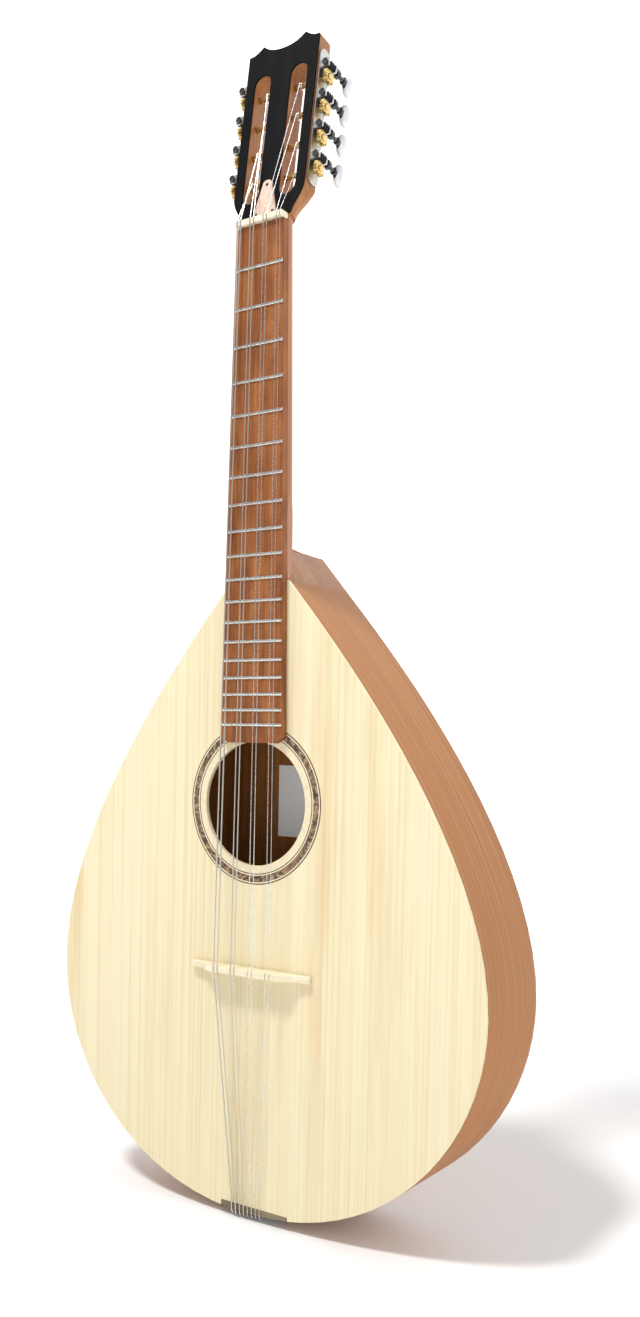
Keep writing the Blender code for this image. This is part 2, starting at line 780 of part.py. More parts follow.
def string_points(i):
    r = string_radius(i)
    side, order, across = winding(i)
    xn = string_x(i, PAIR_PITCH_NUT, PAIR_SPLIT_NUT)
    xb = string_x(i, PAIR_PITCH_BRIDGE, PAIR_SPLIT_BRIDGE)
    xt = TAIL_PITCH * (i - 3.5)
    bend = outline_z(xt) - BODY_BOTTOM
    face = BODY_BOTTOM - GAP - TAIL_PLATE + bend - GAP - r
    pts = [at(xt, HOOK_DEPTH - HOOK_R - GAP - 0.0002, face)]
    corner = TAIL_TURN + r
    for turn in (0.0, 30.0, 60.0, 90.0):
        a = math.radians(turn)
        pts.append(at(xt, STRING_AT_TAIL + TAIL_TURN - corner * math.sin(a),
                      face + corner * (1.0 - math.cos(a))))
    pts += [at(xt, STRING_AT_TAIL - r, BODY_BOTTOM + 0.0045 + bend),
            at(xb, STRING_AT_BRIDGE, -SCALE_LENGTH),
            at(xn, STRING_AT_NUT, 0.0003),
            at(xn, STRING_AT_NUT, 0.0046)]
    start = pts[-1] - HEAD_ORIGIN
    s0, n0 = start.dot(ALONG), start.dot(INTO)
    s1 = TUNER_FIRST + TUNER_PITCH * order
    reach = wound_radius(i) + GAP + r
    ds, dn = s1 - s0, ROLLER_DEPTH - n0
    far = math.hypot(ds, dn)
    aim = math.atan2(dn, ds) - math.asin(reach / far)
    run = math.sqrt(far * far - reach * reach)
    pts.append(head(side * across, s0 + run * math.cos(aim), n0 + run * math.sin(aim)))
    return pts


STRING_NAMES = ("string_g_1", "string_g_2", "string_d_1", "string_d_2",
                "string_a_1", "string_a_2", "string_e_1", "string_e_2")


def make_string(i):
    ob = wire(STRING_NAMES[i], string_points(i), string_radius(i), 2)
    return finish(ob, STRING_NAMES[i], "bronze" if i < 4 else "steel", 60)


def groove(name, a, b, r):
    """A round cutter along a straight run, longer than the run."""
    axis = (b - a).normalized()
    mid = (a + b) / 2.0
    half = (b - a).length / 2.0 + 0.0030
    place = Matrix.Translation(mid) @ axis.to_track_quat("Z", "Y").to_matrix().to_4x4()
    return cutter(turned(name, [(0.0, half), (r, half), (r, -half), (0.0, -half)],
                         8, place))


def make_nut():
    half = NUT_HALF + 0.0002
    ob = box("nut", at(-half, NUT_TOP, GAP), at(half, -GAP, GAP + NUT_THICK - 0.0002))
    bevel(ob, 0.0009, 2)
    ob = as_mesh(ob)
    for i in range(8):
        pts = string_points(i)
        boolean(ob, groove("nut_groove_%d" % i, pts[7], pts[8], string_radius(i) + GAP))
    ob = as_mesh(ob)
    return finish(ob, "nut", "bone", 40)


def make_bridge():
    """A slim bar that stands free on the soundboard, its top edge arched."""
    top = STRING_AT_BRIDGE - 0.0003
    right = [(BRIDGE_HALF, -GAP), (BRIDGE_HALF, -0.0040), (0.0460, -0.0048)]
    for i in range(6):
        t = i / 5.0
        ease = t * t * (3.0 - 2.0 * t)
        right.append((0.0440 - 0.0140 * t, -0.0050 + (top + 0.0050) * ease))
    loop = right + [(-x, y) for x, y in reversed(right)]
    place = Matrix.Translation(at(0.0, 0.0, -SCALE_LENGTH))
    ob = flat("bridge", [loop], BRIDGE_THICK, place)
    bevel(ob, 0.0005, 1, 60)
    ob = as_mesh(ob)
    for i in range(8):
        pts = string_points(i)
        over = pts[6]
        before = over + (pts[5] - over).normalized() * 0.0030
        after = over + (pts[7] - over).normalized() * 0.0030
        boolean(ob, groove("bridge_groove_%d" % i, before, after,
                           string_radius(i) + GAP + 0.00006))
    ob = as_mesh(ob)
    return finish(ob, "bridge", "bone", 40)


# ---------------------------------------------------------------- machines
def worm_frame(side, order):
    """Local Z runs into the head along the worm; X runs across."""
    s = TUNER_FIRST + TUNER_PITCH * order + GEAR_PITCH_R + WORM_PITCH_R
    return Matrix.Translation(head(side * GEAR_X, s, 0.0)) @ Matrix.Rotation(
        -(math.pi / 2.0 + HEAD_ANGLE), 4, "X")


def worm_mesh():
    """Worm, shaft, collar, ferrule and oval button as one turned-up skin."""
    sides = WORM_SIDES
    bm = bmesh.new()

    def ring_at(z, rx, ry):
        return [bm.verts.new((rx * math.cos(2 * math.pi * j / sides),
                              ry * math.sin(2 * math.pi * j / sides), z))
                for j in range(sides)]

    def skin(a, b):
        for j in range(sides):
            k = (j + 1) % sides
            bm.faces.new((a[j], a[k], b[k], b[j]))

    journal = 0.0014
    front = [(0.0010, 0.0018, 0.0018), (0.0016, 0.0025, 0.0025),
             (0.0025, 0.0022, 0.0022),
             (0.0025, journal, journal), (WORM_START, journal, journal),
             (WORM_START, WORM_ROOT_R, WORM_ROOT_R)]
    button_z, button_n, button_s, button_x = 0.0322, 0.0056, 0.0084, 0.0034
    rear = [(WORM_END, WORM_ROOT_R, WORM_ROOT_R), (WORM_END, journal, journal),
            (0.0152, journal, journal), (0.0155, 0.0034, 0.0034),
            (0.0184, 0.0034, 0.0034), (0.0186, 0.0016, 0.0016),
            (0.0245, 0.0016, 0.0016), (0.0245, 0.0027, 0.0027),
            (0.0268, 0.0027, 0.0027)]
    for turn in (-0.90, -0.45, 0.30, 0.88):
        cos = math.sqrt(1.0 - turn * turn)
        rear.append((button_z + button_n * turn, button_x * cos ** 0.8,
                     button_s * cos ** 0.8))
    first = None
    last = None
    for z, rx, ry in front:
        row = ring_at(z, rx, ry)
        if last:
            skin(last, row)
        else:
            first = row
        last = row
    # thread: one start, right handed, a ridge where the profile says so
    centre = ROLLER_DEPTH + WORM_LEAD / 4.0
    marks = ((-0.5, WORM_ROOT_R), (-0.60 / 2.244, WORM_ROOT_R),
             (-0.20 / 2.244, WORM_TIP_R), (0.20 / 2.244, WORM_TIP_R),
             (0.60 / 2.244, WORM_ROOT_R))
    rows = []
    for j in range(sides + 1):
        angle = 2 * math.pi * j / sides
        column = [(WORM_START, WORM_ROOT_R)]
        for k in range(-6, 7):
            for m, (offset, r) in enumerate(marks[1:]):
                z = centre + WORM_LEAD * (k + angle / (2 * math.pi) + offset)
                if z <= WORM_START + 1e-7:
                    z, r = WORM_START, WORM_ROOT_R
                if z >= WORM_END - 1e-7:
                    z, r = WORM_END, WORM_ROOT_R
                column.append((z, r))
        column.append((WORM_END, WORM_ROOT_R))
        rows.append([(r * math.cos(angle), r * math.sin(angle), z) for z, r in column])
    grid = [[bm.verts.new(p) for p in row] for row in rows]
    for j in range(sides):
        # the last column is the first one, one turn on
        a, b = grid[j], grid[j + 1]
        for m in range(len(a) - 1):
            bm.faces.new((a[m], b[m], b[m + 1], a[m + 1]))
    last = None
    for z, rx, ry in rear:
        row = ring_at(z, rx, ry)
        if last:
            skin(last, row)
        last = row
    bm.faces.new(first[::-1])
    bm.faces.new(last)
    bmesh.ops.remove_doubles(bm, verts=bm.verts, dist=2e-6)
    bmesh.ops.dissolve_degenerate(bm, edges=bm.edges, dist=1e-7)
    bmesh.ops.recalc_face_normals(bm, faces=bm.faces)
    mesh = bpy.data.meshes.new("tuner_shaft")
    bm.to_mesh(mesh)
    bm.free()
    return mesh


def make_worm(side, order, mesh):
    name = "tuner_shaft_%s_%d" % ("treble" if side > 0 else "bass", order + 1)
    ob = bpy.data.objects.new(name, mesh)
    PARTS.objects.link(ob)
    ob.matrix_world = worm_frame(side, order)
    return ob


def roller_frame(order):
    """Local X runs across, Y into the head and Z along it."""
    return Matrix.Translation(head(0.0, TUNER_FIRST + TUNER_PITCH * order,
                                   ROLLER_DEPTH)) @ Matrix.Rotation(-HEAD_ANGLE, 4, "X")


def gear_loop():
    """Fourteen teeth; one stands straight along local +Z."""
    pts = []
    tip, foot = 0.00045 / 2.0, 0.00120 / 2.0
    for k in range(TEETH):
        mid = 2 * math.pi * k / TEETH
        for r, half in ((GEAR_ROOT_R, -foot), (GEAR_TIP_R, -tip),
                        (GEAR_TIP_R, tip), (GEAR_ROOT_R, foot)):
            a = mid + half / r
            pts.append((r * math.cos(a), r * math.sin(a)))
    return pts


def make_roller(i):
    """String roller with its winding, the gear and the gear's screw."""
    side, order, across = winding(i)
    name = "roller_%s_%d" % ("treble" if side > 0 else "bass", order + 1)
    frame = roller_frame(order)
    wound = wound_radius(i)
    wide = 0.0022 + 0.0020 * string_radius(i) / 0.0005
    gear_out = GEAR_X + GEAR_THICK / 2.0
    profile = [(0.0, gear_out + 0.0013), (0.0017, gear_out + 0.0013),
               (0.0023, gear_out + 0.0008), (0.0023, gear_out - 0.0010),
               (ROLLER_R, gear_out - 0.0010),
               (ROLLER_R, across + wide / 2.0 + 0.0004),
               (wound, across + wide / 2.0), (wound, across - wide / 2.0),
               (ROLLER_R, across - wide / 2.0 - 0.0004),
               (ROLLER_R, ROLLER_INNER), (0.0, ROLLER_INNER)]
    turn = Matrix.Rotation(side * math.pi / 2.0, 4, "Y")
    ob = turned(name, profile, 8, frame @ turn)
    # the gear's outline is drawn in a plane across local X
    plane = Matrix(((0.0, 0.0, 1.0, side * GEAR_X), (0.0, 1.0, 0.0, 0.0),
                    (-1.0, 0.0, 0.0, 0.0), (0.0, 0.0, 0.0, 1.0)))
    gear = flat("gear_" + name, [gear_loop()], GEAR_THICK, frame @ plane)
    boolean(ob, cutter(gear), "UNION")
    ob = as_mesh(ob)
    # keep the origin on the axis, with local X across
    ob.data.transform(turn)
    ob.matrix_world = frame
    return finish(ob, name, "brass", 40)


def make_plate(side):
    """Side plate with two posts for each worm and a hole for each roller."""
    name = "tuner_plate_treble" if side > 0 else "tuner_plate_bass"
    inner = HEAD_HALF + GAP
    low, high = PLATE_LOW, PLATE_HIGH
    front, rear = PLATE_FRONT, PLATE_REAR
    mid, r = (front + rear) / 2.0, (rear - front) / 2.0
    loop = []
    for i in range(7):
        a = math.pi * i / 6
        loop.append((mid + r * math.cos(a), high - r + r * math.sin(a)))
    for i in range(7):
        a = math.pi + math.pi * i / 6
        loop.append((mid + r * math.cos(a), low + r + r * math.sin(a)))
    # drawn as (into, along), its thickness across
    base = Matrix.Translation(HEAD_ORIGIN) @ Matrix.Rotation(-HEAD_ANGLE, 4, "X")
    plane = Matrix(((0.0, 0.0, 1.0, side * (inner + PLATE_THICK / 2.0)),
                    (1.0, 0.0, 0.0, 0.0), (0.0, 1.0, 0.0, 0.0),
                    (0.0, 0.0, 0.0, 1.0)))
    ob = flat(name, [loop], PLATE_THICK, base @ plane)
    for i in range(4):
        s = TUNER_FIRST + TUNER_PITCH * i
        w = s + GEAR_PITCH_R + WORM_PITCH_R
        for j, (a, b) in enumerate(((0.0028, 0.0043), (0.0117, 0.0133))):
            x0, x1 = inner + PLATE_THICK * 0.4, GEAR_X + 0.0028
            lo = (min(side * x0, side * x1), a, w - 0.0028)
            hi = (max(side * x0, side * x1), b, w + 0.0028)
            post = box("post_%d_%d_%s" % (i, j, name), lo, hi, matrix=base)
            boolean(ob, cutter(post), "UNION")
    ob = as_mesh(ob)
    for i in range(4):
        s = TUNER_FIRST + TUNER_PITCH * i
        place = base @ Matrix.Translation((0.0, ROLLER_DEPTH, s)) @ Matrix.Rotation(
            side * math.pi / 2.0, 4, "Y")
        bore = turned("plate_bore_%d_%s" % (i, name),
                      [(0.0, 0.0350), (ROLLER_R + 0.0004, 0.0350),
                       (ROLLER_R + 0.0004, 0.0280), (0.0, 0.0280)], 8, place)
        boolean(ob, cutter(bore))
        run = turned("plate_run_%d_%s" % (i, name),
                     [(0.0, 0.0145), (0.0018, 0.0145), (0.0018, 0.0015),
                      (0.0, 0.0015)], 8, worm_frame(side, i))
        boolean(ob, cutter(run))
    ob = as_mesh(ob)
    return finish(ob, name, "nickel", 30)


# ---------------------------------------------------------------- assembly
make_soundboard()
make_back()
make_rib(1)
make_rib(-1)
make_tail_block()
make_brace("top_brace_upper", -0.3540, 0.0120, 0.0080)
make_brace("top_brace_lower", -0.4800, 0.0120, 0.0080)
make_tail_saddle()
make_tailpiece()
make_neck()
make_veneer()
make_cover()
make_board()
for number in range(1, FRET_COUNT + 1):
    make_fret(number)
make_nut()
make_bridge()
for number in range(8):
    make_string(number)
    make_roller(number)
shared = worm_mesh()
shared.materials.append(material("pearl", "tuner_shaft"))
shared.shade_smooth()
shared.set_sharp_from_angle(angle=math.radians(40))
for hand in (1, -1):
    make_plate(hand)
    for number in range(4):
        make_worm(hand, number, shared)
bpy.context.view_layer.update()
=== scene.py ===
import math

import bmesh
import bpy
from mathutils import Matrix, Vector


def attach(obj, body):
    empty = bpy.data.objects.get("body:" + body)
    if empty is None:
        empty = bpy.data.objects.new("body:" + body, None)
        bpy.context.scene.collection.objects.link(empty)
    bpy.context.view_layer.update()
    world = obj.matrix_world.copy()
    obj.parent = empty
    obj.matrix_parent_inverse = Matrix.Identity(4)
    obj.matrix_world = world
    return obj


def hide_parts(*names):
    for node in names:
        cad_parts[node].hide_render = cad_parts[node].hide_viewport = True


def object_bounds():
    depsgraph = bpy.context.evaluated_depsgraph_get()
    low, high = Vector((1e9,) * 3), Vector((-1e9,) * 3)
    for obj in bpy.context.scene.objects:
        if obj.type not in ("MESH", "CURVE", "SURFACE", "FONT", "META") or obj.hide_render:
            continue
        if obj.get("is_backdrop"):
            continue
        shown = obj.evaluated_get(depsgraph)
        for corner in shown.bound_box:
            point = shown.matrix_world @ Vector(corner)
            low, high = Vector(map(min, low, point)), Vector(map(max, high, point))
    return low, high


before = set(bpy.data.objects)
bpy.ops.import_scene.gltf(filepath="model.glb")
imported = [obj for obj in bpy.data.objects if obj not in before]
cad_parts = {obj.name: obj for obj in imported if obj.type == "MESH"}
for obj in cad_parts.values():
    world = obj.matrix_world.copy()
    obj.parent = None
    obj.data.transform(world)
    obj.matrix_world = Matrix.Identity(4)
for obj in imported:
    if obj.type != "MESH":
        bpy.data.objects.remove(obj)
CAD_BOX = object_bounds()

Y_TOP = -(0.077 - 0.0126) / 2.0
Z_NUT = 0.0045 + 0.7135
TILT = math.radians(8.0)
ROOT = "instrument"
HOLE_Z = -0.4134
HOLE_R = 0.0451


def at(x, y, z):
    return Vector((x, Y_TOP + y, Z_NUT + z))


def head(x, s, n):
    return (at(0.0, -0.0010, 0.0) + Vector((x, 0.0, 0.0))
            + Vector((0.0, math.sin(TILT), math.cos(TILT))) * s
            + Vector((0.0, math.cos(TILT), -math.sin(TILT))) * n)


# ---------------------------------------------------------------- materials
def new_material(name):
    mat = bpy.data.materials.new(name)
    mat.use_nodes = True
    tree = mat.node_tree
    return mat, tree, tree.nodes["Principled BSDF"]


def noise(tree, scale, stretch, detail=4.0, rough=0.55, place="Object"):
    """Noise in the object's own coordinates, drawn out along its grain."""
    co = tree.nodes.new("ShaderNodeTexCoord")
    mp = tree.nodes.new("ShaderNodeMapping")
    mp.inputs["Scale"].default_value = stretch
    tex = tree.nodes.new("ShaderNodeTexNoise")
    tex.inputs["Scale"].default_value = scale
    tex.inputs["Detail"].default_value = detail
    tex.inputs["Roughness"].default_value = rough
    tree.links.new(co.outputs[place], mp.inputs["Vector"])
    tree.links.new(mp.outputs["Vector"], tex.inputs["Vector"])
    return tex.outputs["Fac"]


def ramp(tree, value, stops):
    node = tree.nodes.new("ShaderNodeValToRGB")
    points = node.color_ramp.elements
    points[0].position, points[0].color = stops[0][0], (*stops[0][1], 1.0)
    points[1].position, points[1].color = stops[-1][0], (*stops[-1][1], 1.0)
    for place, colour in stops[1:-1]:
        point = points.new(place)
        point.color = (*colour, 1.0)
    tree.links.new(value, node.inputs["Fac"])
    return node.outputs["Color"]


def mix(tree, fac, a, b, mode="MIX"):
    node = tree.nodes.new("ShaderNodeMix")
    node.data_type = "RGBA"
    node.blend_type = mode
    if isinstance(fac, float):
        node.inputs["Factor"].default_value = fac
    else:
        tree.links.new(fac, node.inputs["Factor"])
    tree.links.new(a, node.inputs[6])
    tree.links.new(b, node.inputs[7])
    return node.outputs[2]


def bump(tree, bsdf, height, strength, distance):
    node = tree.nodes.new("ShaderNodeBump")
    node.inputs["Strength"].default_value = strength
    node.inputs["Distance"].default_value = distance
    tree.links.new(height, node.inputs["Height"])
    tree.links.new(node.outputs["Normal"], bsdf.inputs["Normal"])


def vary_rough(tree, bsdf, value, low, high):
    node = tree.nodes.new("ShaderNodeMapRange")
    node.inputs["To Min"].default_value = low
    node.inputs["To Max"].default_value = high
    tree.links.new(value, node.inputs["Value"])
    tree.links.new(node.outputs["Result"], bsdf.inputs["Roughness"])


def wood(name, dark, mid, light, fine, broad, rough, depth=0.00008, coat=0.0,
         place="Object"):
    """Straight-grained wood: fine lines over broad drifts of colour."""
    mat, tree, bsdf = new_material(name)
    lines = noise(tree, 1.0, fine, 5.0, 0.6, place)
    drift = noise(tree, 1.0, broad, 3.0, 0.5, place)
    a = ramp(tree, lines, ((0.32, dark), (0.50, mid), (0.68, light)))
    b = ramp(tree, drift, ((0.35, dark), (0.52, mid), (0.66, light)))
    tree.links.new(mix(tree, 0.5, a, b), bsdf.inputs["Base Color"])
    vary_rough(tree, bsdf, lines, rough - 0.06, rough + 0.08)
    bump(tree, bsdf, lines, 0.25, depth)
    bsdf.inputs["Coat Weight"].default_value = coat
    bsdf.inputs["Coat Roughness"].default_value = 0.25
    return mat


def spruce(name):
    """Pale top: close vertical lines, faint wide bands and a few tan streaks."""
    mat, tree, bsdf = new_material(name)
    lines = noise(tree, 1.0, (520.0, 520.0, 2.0), 4.0, 0.65)
    bands = noise(tree, 1.0, (60.0, 60.0, 1.2), 3.0, 0.5)
    streak = noise(tree, 1.0, (24.0, 24.0, 1.6), 4.0, 0.65)
    base = ramp(tree, lines, ((0.32, (0.72, 0.56, 0.30)), (0.50, (0.86, 0.75, 0.49)),
                              (0.66, (0.88, 0.79, 0.54))))
    wide = ramp(tree, bands, ((0.30, (0.80, 0.68, 0.42)), (0.55, (0.88, 0.79, 0.54)),
                              (0.72, (0.90, 0.82, 0.58))))
    both = mix(tree, 0.45, base, wide)
    tan = tree.nodes.new("ShaderNodeRGB")
    tan.outputs[0].default_value = (0.70, 0.46, 0.20, 1.0)
    mask = ramp(tree, streak, ((0.56, (0.0, 0.0, 0.0)), (0.72, (0.50, 0.50, 0.50))))
    tree.links.new(mix(tree, mask, both, tan.outputs[0]), bsdf.inputs["Base Color"])
    vary_rough(tree, bsdf, bands, 0.42, 0.56)
    bump(tree, bsdf, lines, 0.18, 0.00005)
    return mat


def metal(name, colour, rough, spread=0.10, scale=900.0):
    mat, tree, bsdf = new_material(name)
    tone = noise(tree, scale, (1.0, 1.0, 1.0), 3.0)
    dark = tuple(c * 0.72 for c in colour)
    tree.links.new(ramp(tree, tone, ((0.30, dark), (0.62, colour))),
                   bsdf.inputs["Base Color"])
    bsdf.inputs["Metallic"].default_value = 1.0
    vary_rough(tree, bsdf, tone, rough, rough + spread)
    bump(tree, bsdf, tone, 0.08, 0.00003)
    return mat


def plain(name, low, high, rough, scale=300.0, coat=0.0, relief=0.05):
    mat, tree, bsdf = new_material(name)
    tone = noise(tree, scale, (1.0, 1.0, 1.0), 4.0)
    tree.links.new(ramp(tree, tone, ((0.30, low), (0.68, high))),
                   bsdf.inputs["Base Color"])
    vary_rough(tree, bsdf, tone, rough - 0.04, rough + 0.06)
    bump(tree, bsdf, tone, relief, 0.00003)
    bsdf.inputs["Coat Weight"].default_value = coat
    return mat


def wound(name):
    """Fine turns of wrap wire along the string, with the grooves between turns darkened as painted
    shade.
    """
    mat, tree, bsdf = new_material(name)
    co = tree.nodes.new("ShaderNodeTexCoord")
    wave = tree.nodes.new("ShaderNodeTexWave")
    wave.bands_direction = "Z"
    wave.inputs["Scale"].default_value = 900.0
    tree.links.new(co.outputs["Object"], wave.inputs["Vector"])
    # the wave's troughs, the grooves between turns, take the dark colour: painted shade
    tree.links.new(ramp(tree, wave.outputs["Fac"], ((0.2, (0.48, 0.44, 0.38)),
                                                     (0.8, (0.84, 0.80, 0.73)))),
                   bsdf.inputs["Base Color"])
    bsdf.inputs["Metallic"].default_value = 1.0
    bsdf.inputs["Roughness"].default_value = 0.34
    bump(tree, bsdf, wave.outputs["Fac"], 0.3, 0.00005)
    return mat


def mosaic(name):
    """Small brown, black and tan chips round the soundhole."""
    mat, tree, bsdf = new_material(name)
    co = tree.nodes.new("ShaderNodeTexCoord")
    cell = tree.nodes.new("ShaderNodeTexVoronoi")
    cell.inputs["Scale"].default_value = 620.0
    tree.links.new(co.outputs["Object"], cell.inputs["Vector"])
    part = tree.nodes.new("ShaderNodeSeparateColor")
    tree.links.new(cell.outputs["Color"], part.inputs["Color"])
    tree.links.new(ramp(tree, part.outputs["Red"], ((0.15, (0.05, 0.03, 0.02)),
                                                     (0.50, (0.20, 0.11, 0.06)),
                                                     (0.92, (0.42, 0.28, 0.15)))),
                   bsdf.inputs["Base Color"])
    vary_rough(tree, bsdf, part.outputs["Green"], 0.40, 0.55)
    bump(tree, bsdf, cell.outputs["Distance"], 0.10, 0.00003)
    return mat


TOP = spruce("top_spruce")
BRACE = wood("inner_spruce", (0.42, 0.28, 0.14), (0.55, 0.39, 0.21), (0.62, 0.46, 0.27),
             (300.0, 300.0, 6.0), (40.0, 40.0, 3.0), 0.65)
SIDE = wood("mahogany_sides", (0.27, 0.088, 0.017), (0.43, 0.165, 0.036), (0.54, 0.235, 0.062),
            (16.0, 420.0, 1.0), (4.0, 46.0, 1.0), 0.46, coat=0.0, place="UV")
BACK = wood("back_mahogany", (0.28, 0.100, 0.026), (0.43, 0.175, 0.050), (0.55, 0.250, 0.082),
            (320.0, 320.0, 10.0), (30.0, 30.0, 2.0), 0.42, coat=0.15)
NECK = wood("neck_mahogany", (0.26, 0.095, 0.028), (0.40, 0.160, 0.050), (0.52, 0.235, 0.080),
            (380.0, 380.0, 14.0), (50.0, 50.0, 5.0), 0.42, coat=0.12)
BOARD = wood("fretboard_wood", (0.17, 0.050, 0.014), (0.30, 0.098, 0.026), (0.43, 0.165, 0.050),
             (520.0, 520.0, 26.0), (90.0, 90.0, 30.0), 0.50, 0.00012)
MAPLE = wood("bridge_maple", (0.74, 0.64, 0.42), (0.84, 0.75, 0.53), (0.90, 0.83, 0.64),
             (40.0, 400.0, 400.0), (12.0, 60.0, 60.0), 0.42)
DARKWOOD = wood("edge_wood", (0.09, 0.075, 0.045), (0.17, 0.14, 0.085), (0.27, 0.22, 0.13),
                (60.0, 500.0, 500.0), (20.0, 80.0, 80.0), 0.52)
BLACK = wood("head_black", (0.004, 0.004, 0.005), (0.007, 0.007, 0.008), (0.012, 0.012, 0.013),
             (420.0, 420.0, 12.0), (60.0, 60.0, 6.0), 0.62, 0.00004)
BONE = plain("nut_bone", (0.78, 0.70, 0.48), (0.90, 0.86, 0.72), 0.36, 260.0, 0.2)
COVER = plain("cover_pale", (0.76, 0.55, 0.42), (0.84, 0.66, 0.54), 0.42, 240.0)
PAPER_GLOW = plain("paper_with_painted_glow", (0.86, 0.86, 0.85), (0.95, 0.95, 0.94), 0.72, 500.0)
# the paper glows faintly: painted light that brightens it inside the dim body
PAPER_GLOW.node_tree.nodes["Principled BSDF"].inputs["Emission Color"].default_value = (0.9, 0.9, 0.9, 1.0)
PAPER_GLOW.node_tree.nodes["Principled BSDF"].inputs["Emission Strength"].default_value = 0.12
BLACK.node_tree.nodes["Principled BSDF"].inputs["Specular IOR Level"].default_value = 0.06
PEARL = plain("button_pearl", (0.70, 0.73, 0.80), (0.93, 0.94, 0.97), 0.16, 130.0, 0.8, 0.02)
INK = plain("machine_black", (0.010, 0.010, 0.012), (0.030, 0.030, 0.034), 0.26, 700.0, 0.4)
for _mat in (SIDE, BACK, NECK, BOARD):
    _mat.node_tree.nodes["Principled BSDF"].inputs["Specular IOR Level"].default_value = 0.30
FRET = metal("fret_silver", (0.80, 0.79, 0.76), 0.22)
STEEL = metal("plain_steel", (0.80, 0.80, 0.80), 0.22)
NICKEL = metal("plate_nickel", (0.62, 0.61, 0.58), 0.30)
BRASS = metal("gear_brass", (0.80, 0.60, 0.26), 0.26, 0.08, 2600.0)
WOUND = wound("wound_wire")
MOSAIC = mosaic("hole_mosaic")
LIGHTLINE = plain("inlay_light", (0.78, 0.66, 0.42), (0.88, 0.78, 0.56), 0.45)
DARKLINE = plain("inlay_dark", (0.02, 0.014, 0.010), (0.05, 0.035, 0.022), 0.45)


def dress(name, mat):
    ob = bpy.data.objects[name]
    if not ob.material_slots:
        ob.data.materials.append(mat)
    for slot in ob.material_slots:
        slot.material = mat


LOOKS = {"soundboard": TOP, "back_plate": BACK, "rib_bass": SIDE, "rib_treble": SIDE,
         "tail_block": BRACE, "top_brace_upper": BRACE, "top_brace_lower": BRACE,
         "tail_saddle": DARKWOOD, "tailpiece": NICKEL, "neck": NECK,
         "head_veneer": BLACK, "truss_rod_cover": COVER, "fretboard": BOARD,
         "nut": BONE, "bridge": MAPLE, "tuner_plate_bass": NICKEL,
         "tuner_plate_treble": NICKEL}
for name in list(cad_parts):
    if name in LOOKS:
        dress(name, LOOKS[name])
    elif name.startswith("fret_"):
        dress(name, FRET)
    elif name.startswith("string_"):
        dress(name, WOUND if name[7] in "gd" else STEEL)
    elif name.startswith("roller_"):
        dress(name, BRASS)
    elif name.startswith("tuner_shaft_"):
        dress(name, INK)


# ---------------------------------------------------------------- pieces
def as_mesh(ob, sharp=35.0):
    bpy.context.view_layer.update()
    deps = bpy.context.evaluated_depsgraph_get()
    mesh = bpy.data.meshes.new_from_object(ob.evaluated_get(deps))
    bm = bmesh.new()
    bm.from_mesh(mesh)
    bmesh.ops.remove_doubles(bm, verts=bm.verts, dist=2e-6)
    bm.to_mesh(mesh)
    bm.free()
    mesh.transform(ob.matrix_world)
    name = ob.name
    bpy.data.objects.remove(ob, do_unlink=True)
    new = bpy.data.objects.new(name, mesh)
    bpy.context.scene.collection.objects.link(new)
    mesh.shade_smooth()
    mesh.set_sharp_from_angle(angle=math.radians(sharp))
    return new


def settle(ob, mat, body, replaced=()):
    ob.data.materials.clear()
    ob.data.materials.append(mat)
    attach(ob, body)
    if replaced:
        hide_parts(*replaced)
    return ob


def flat(name, loops, thick, matrix, soft=0.0):
    curve = bpy.data.curves.new(name, "CURVE")
    curve.dimensions = "2D"
    curve.fill_mode = "BOTH"
    curve.extrude = thick / 2.0 - soft
    curve.bevel_depth = soft
    curve.bevel_resolution = 1
    curve.offset = -soft
    for loop in loops:
        spline = curve.splines.new("POLY")
        spline.points.add(len(loop) - 1)
        for point, (u, v) in zip(spline.points, loop):
            point.co = (u, v, 0.0, 1.0)
        spline.use_cyclic_u = True
    ob = bpy.data.objects.new(name, curve)
    bpy.context.scene.collection.objects.link(ob)
    ob.matrix_world = matrix
    return as_mesh(ob)


def turned(name, profile, steps, matrix, squash=1.0, across=1.0):
    """A turned piece, narrowed across its own X and Y where it is oval."""
    bm = bmesh.new()
    rows = []
    for r, z in profile:
        rows.append([bm.verts.new((r * math.cos(2 * math.pi * j / steps) * squash,
                                   r * math.sin(2 * math.pi * j / steps) * across, z))
                     for j in range(steps)])
    for a, b in zip(rows, rows[1:]):
        for j in range(steps):
            k = (j + 1) % steps
            bm.faces.new((a[j], a[k], b[k], b[j]))
    bm.faces.new(rows[0][::-1])
    bm.faces.new(rows[-1])
    bmesh.ops.recalc_face_normals(bm, faces=bm.faces)
    mesh = bpy.data.meshes.new(name)
    bm.to_mesh(mesh)
    bm.free()
    mesh.transform(matrix)
    mesh.shade_smooth()
    mesh.set_sharp_from_angle(angle=math.radians(40))
    ob = bpy.data.objects.new(name, mesh)
    bpy.context.scene.collection.objects.link(ob)
    return ob


def elevation(y_mid):
    return Matrix.Translation(at(0.0, y_mid, 0.0)) @ Matrix.Rotation(math.pi / 2.0, 4, "X")


def bezier(p0, p1, p2, p3, steps):
    out = []
    for i in range(steps + 1):
        t = i / steps
        a, b, c, d = (1 - t) ** 3, 3 * (1 - t) ** 2 * t, 3 * (1 - t) * t * t, t ** 3
        out.append((a * p0[0] + b * p1[0] + c * p2[0] + d * p3[0],
                    a * p0[1] + b * p1[1] + c * p2[1] + d * p3[1]))
    return out


